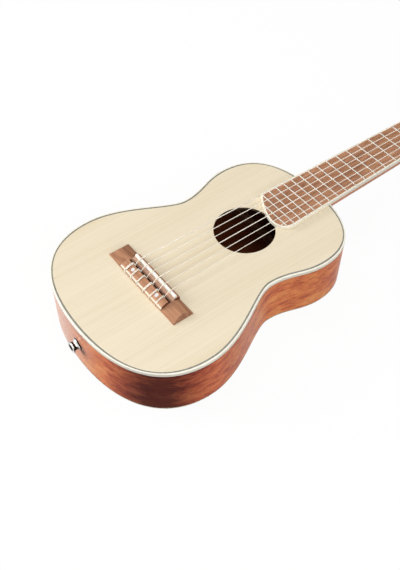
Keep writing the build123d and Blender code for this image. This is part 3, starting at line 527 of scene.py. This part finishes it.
def post_wrap(number):
    """A string's turns round its post above its straight run, and its end through the post's hole."""
    radius = STRING_RADII[number - 1]
    joint = joints[f"post_{number}_turn"]
    foot, up = Vector(joint["pos_m"]), Vector(joint["axis"])
    outward = Vector((math.copysign(1.0, foot.x), 0.0, 0.0))
    along = Vector((0.0, up.z, -up.y))

    def at(angle, reach, height):
        return foot + outward * (reach * math.cos(angle)) + along * (reach * math.sin(angle)) + up * height

    first = STRING_LEVEL + 2 * radius + 2 * TURN_GAP
    rise = POST_HOLE_HEIGHT - first
    turns = max(FEWEST_TURNS, round(rise / (2 * radius + TURN_GAP) * 2) / 2)
    count = int(turns * STEPS_A_TURN)
    reach = POST_RADIUS + radius + TURN_GAP
    points = []
    for step in range(count + 1):
        share = step / count
        start_in = min(1.0, step / STEPS_IN)
        angle = math.pi - math.tau * turns * (share - 1)
        points.append(at(angle, reach - (1 - start_in) * 2 * radius, first + rise * share))
    # In at the hole, through the post, and out to a short free end
    points += [
        at(math.pi * 0.93, POST_RADIUS * 0.75, POST_HOLE_HEIGHT),
        at(0.0, POST_RADIUS * 0.5, POST_HOLE_HEIGHT),
        at(0.0, POST_RADIUS * 1.5, POST_HOLE_HEIGHT + 0.2 * MM),
        at(0.12, POST_RADIUS * 2.3, POST_HOLE_HEIGHT + 0.9 * MM),
    ]
    tube(f"string_wrap_{number}", points, radius, f"post_{number}")


TIE_HEIGHT = 7.6 * MM
TIE_REAR_HEIGHT = 3.6 * MM
TIE_HOLE_FRONT = 3.4 * MM
SADDLE_SPACING = 10.5 * MM
LOOP_SHIFT = 1.5 * MM
LOOP_LIFT = 0.25 * MM       # a strand's clearance over the tie block
STRAND_GAP = 0.15 * MM      # between a returning strand and the loop beside it
UNDER_FROM_TIE = 2.0 * MM   # from the tie block to where the strand goes under the string
EDGE_FROM_FRONT = 0.9 * MM  # where the strand first lies on the block, behind its front edge
END_FROM_REAR = 0.9 * MM    # where the strand ends, before the block's rear edge
BLOCK_SHARES = (0.65, 0.4, 0.2)     # places along the tie block, from its rear, that a strand lies on


def tie_top(y):
    """Height of the tie block's curved top over the soundboard."""
    return TIE_HEIGHT - (TIE_HEIGHT - TIE_REAR_HEIGHT) * ((tie_front - y) / TIE_WIDTH) ** 2


def main_string(y):
    """Height of a string's middle between the tie block and the saddle, over the soundboard."""
    rise = saddle_high.z - top_level - TIE_HOLE_FRONT
    return TIE_HOLE_FRONT + rise * (y - tie_front) / (saddle_low.y - tie_front)


def tie_return(number):
    """The strand that goes under the string in front of the tie block and back over it."""
    radius = STRING_RADII[number - 1]
    rank = min(number, len(STRINGS) + 1 - number)
    side = 1.0 if number == rank else -1.0
    x = ((len(STRINGS) + 1) / 2 - rank) * SADDLE_SPACING
    loop = x + LOOP_SHIFT
    back = loop - 2 * radius - STRAND_GAP
    lift = radius + LOOP_LIFT
    under = tie_front + UNDER_FROM_TIE
    string_level = main_string(under)
    edge = tie_front - EDGE_FROM_FRONT
    end = tie_rear + END_FROM_REAR
    # Down in front of the block, under the string, up on its other side, and back over the block
    points = [
        (loop, tie_front + lift, TIE_HEIGHT + lift - 2.2 * MM),
        (loop - 0.1 * MM, tie_front + 1.2 * MM, string_level - 0.4 * MM),
        (x + 0.2 * MM, under + 0.3 * MM, string_level - 2 * radius - 0.05 * MM),
        (x - radius - 0.6 * MM, under - 0.3 * MM, string_level + 0.6 * MM),
        (x - 0.1 * MM, tie_front + 0.5 * MM, TIE_HEIGHT + radius - 0.3 * MM),
        (back, edge, tie_top(edge) + lift),
        *[(back, y, tie_top(y) + lift) for y in (tie_rear + TIE_WIDTH * share for share in BLOCK_SHARES)],
        (loop - radius, end, tie_top(end) + lift - 0.2 * radius),
    ]
    placed = [Vector((side * px, py, top_level + pz)) for px, py, pz in points]
    tube(f"tie_return_{number}", placed, radius, "guitar")


for number in STRINGS:
    post_wrap(number)
    tie_return(number)


# Stage: a pale floor and soft light

FLOOR_HALF = 6.0
FLOOR_LEVEL = -0.3 * MM
FLOOR_WHITE = 0.94          # share of plain white in the floor beside the object
FLOOR_FADE = (0.5, 1.8)     # distances between which the floor goes over to plain white
FLOOR_SEEN = (0.90, 0.90, 0.90, 1.0)
FLOOR_BOUNCE = (0.05, 0.05, 0.05, 1.0)
WORLD_LIGHT = 0.07
WHITE = (1.0, 1.0, 1.0, 1.0)
BODY_MIDDLE = Vector((0.0, -0.17, 0.04))
LAMP_DISTANCE = 2.2


def shown_white(tree, links):
    """1 for rays that come from the camera or from a reflection or glass, else 0."""
    path = tree.new("ShaderNodeLightPath")
    total = path.outputs["Is Camera Ray"]
    for name in ("Is Glossy Ray", "Is Transmission Ray"):
        greater = tree.new("ShaderNodeMath")
        greater.operation = "MAXIMUM"
        links.new(total, greater.inputs[0])
        links.new(path.outputs[name], greater.inputs[1])
        total = greater.outputs[0]
    return total


def floor_white(tree, links, seen):
    """How much of the floor is plain white: the more, the further from the object."""
    away = tree.new("ShaderNodeVectorMath")
    away.operation = "LENGTH"
    links.new(tree.new("ShaderNodeTexCoord").outputs["Object"], away.inputs[0])
    fade = tree.new("ShaderNodeMapRange")
    for name, value in zip(("From Min", "From Max", "To Min", "To Max"), (*FLOOR_FADE, FLOOR_WHITE, 1.0)):
        fade.inputs[name].default_value = value
    links.new(away.outputs["Value"], fade.inputs["Value"])
    share = tree.new("ShaderNodeMath")
    share.operation = "MULTIPLY"
    links.new(fade.outputs["Result"], share.inputs[0])
    links.new(seen, share.inputs[1])
    return share.outputs[0]


def floor_material():
    """White where it is seen, with a little of a matte floor that takes the object's shadow."""
    material = bpy.data.materials.new("floor")
    material.use_nodes = True
    tree, links = material.node_tree.nodes, material.node_tree.links
    tree.clear()
    seen = shown_white(tree, links)
    tint = tree.new("ShaderNodeMix")
    tint.data_type = "RGBA"
    links.new(seen, tint.inputs[0])
    tint.inputs[6].default_value = FLOOR_BOUNCE
    tint.inputs[7].default_value = FLOOR_SEEN
    matte = tree.new("ShaderNodeBsdfDiffuse")
    links.new(tint.outputs[2], matte.inputs["Color"])
    blend = tree.new("ShaderNodeMixShader")
    links.new(floor_white(tree, links, seen), blend.inputs[0])
    links.new(matte.outputs[0], blend.inputs[1])
    links.new(tree.new("ShaderNodeEmission").outputs[0], blend.inputs[2])
    links.new(blend.outputs[0], tree.new("ShaderNodeOutputMaterial").inputs["Surface"])
    return material


def floor():
    """A wide square floor, just under the back."""
    mesh = bpy.data.meshes.new("floor")
    signs = ((-1, -1), (1, -1), (1, 1), (-1, 1))
    corners = [(across * FLOOR_HALF, along * FLOOR_HALF, FLOOR_LEVEL) for across, along in signs]
    mesh.from_pydata(corners, [], [(0, 1, 2, 3)])
    mesh.materials.append(floor_material())
    ground = bpy.data.objects.new("floor", mesh)
    bpy.context.scene.collection.objects.link(ground)


def world():
    """Dim light from all round, shown as white."""
    made = bpy.data.worlds.new("studio")
    bpy.context.scene.world = made
    made.use_nodes = True
    tree, links = made.node_tree.nodes, made.node_tree.links
    tree.clear()
    dim = tree.new("ShaderNodeBackground")
    dim.inputs["Strength"].default_value = WORLD_LIGHT
    dim.inputs["Color"].default_value = WHITE
    white = tree.new("ShaderNodeBackground")
    white.inputs["Color"].default_value = WHITE
    blend = tree.new("ShaderNodeMixShader")
    links.new(shown_white(tree, links), blend.inputs[0])
    links.new(dim.outputs[0], blend.inputs[1])
    links.new(white.outputs[0], blend.inputs[2])
    links.new(blend.outputs[0], tree.new("ShaderNodeOutputWorld").inputs["Surface"])


def softbox(name, towards, size, level):
    """A square lamp in a direction from the body.

    At level 1 it alone shows a facing colour as it is written.
    """
    lamp = bpy.data.lights.new(name, "AREA")
    lamp.shape = "SQUARE"
    lamp.size = size
    lamp.energy = level * (math.pi * LAMP_DISTANCE) ** 2
    holder = bpy.data.objects.new(name, lamp)
    bpy.context.scene.collection.objects.link(holder)
    direction = Vector(towards).normalized()
    holder.location = BODY_MIDDLE + direction * LAMP_DISTANCE
    holder.rotation_mode = "QUATERNION"
    holder.rotation_quaternion = (-direction).to_track_quat("-Z", "Y")


floor()
world()
softbox("overhead", towards=(-0.20, 0.10, 1.0), size=1.6, level=0.44)
softbox("left", towards=(-0.668, -0.677, 0.309), size=1.3, level=1.11)
softbox("right", towards=(0.821, -0.115, 0.559), size=2.2, level=0.91)


# Camera, fitted to the photo

PICTURE_HEIGHT = 570
FOCAL_PIXELS = 819.63
SENSOR = 36.0
CAMERA_PLACE = (0.45323, -0.53226, 0.71877)
# To the picture's right, up the picture, and back from it to the viewer
CAMERA_AXES = ((0.60433, 0.79670, 0.00749), (-0.62174, 0.46569, 0.62974), (0.49822, -0.38523, 0.77677))


def camera():
    """The photo's camera, with its focal length turned from pixels to millimetres."""
    lens = bpy.data.cameras.new("camera")
    lens.sensor_fit = "VERTICAL"
    lens.sensor_height = SENSOR
    lens.sensor_width = SENSOR
    lens.lens = FOCAL_PIXELS * SENSOR / PICTURE_HEIGHT
    lens.clip_start = 0.01
    holder = bpy.data.objects.new("camera", lens)
    bpy.context.scene.collection.objects.link(holder)
    turn = Matrix(CAMERA_AXES).transposed().to_4x4()
    holder.matrix_world = Matrix.Translation(CAMERA_PLACE) @ turn
    bpy.context.scene.camera = holder


camera()
bpy.context.scene.view_settings.view_transform = "Standard"
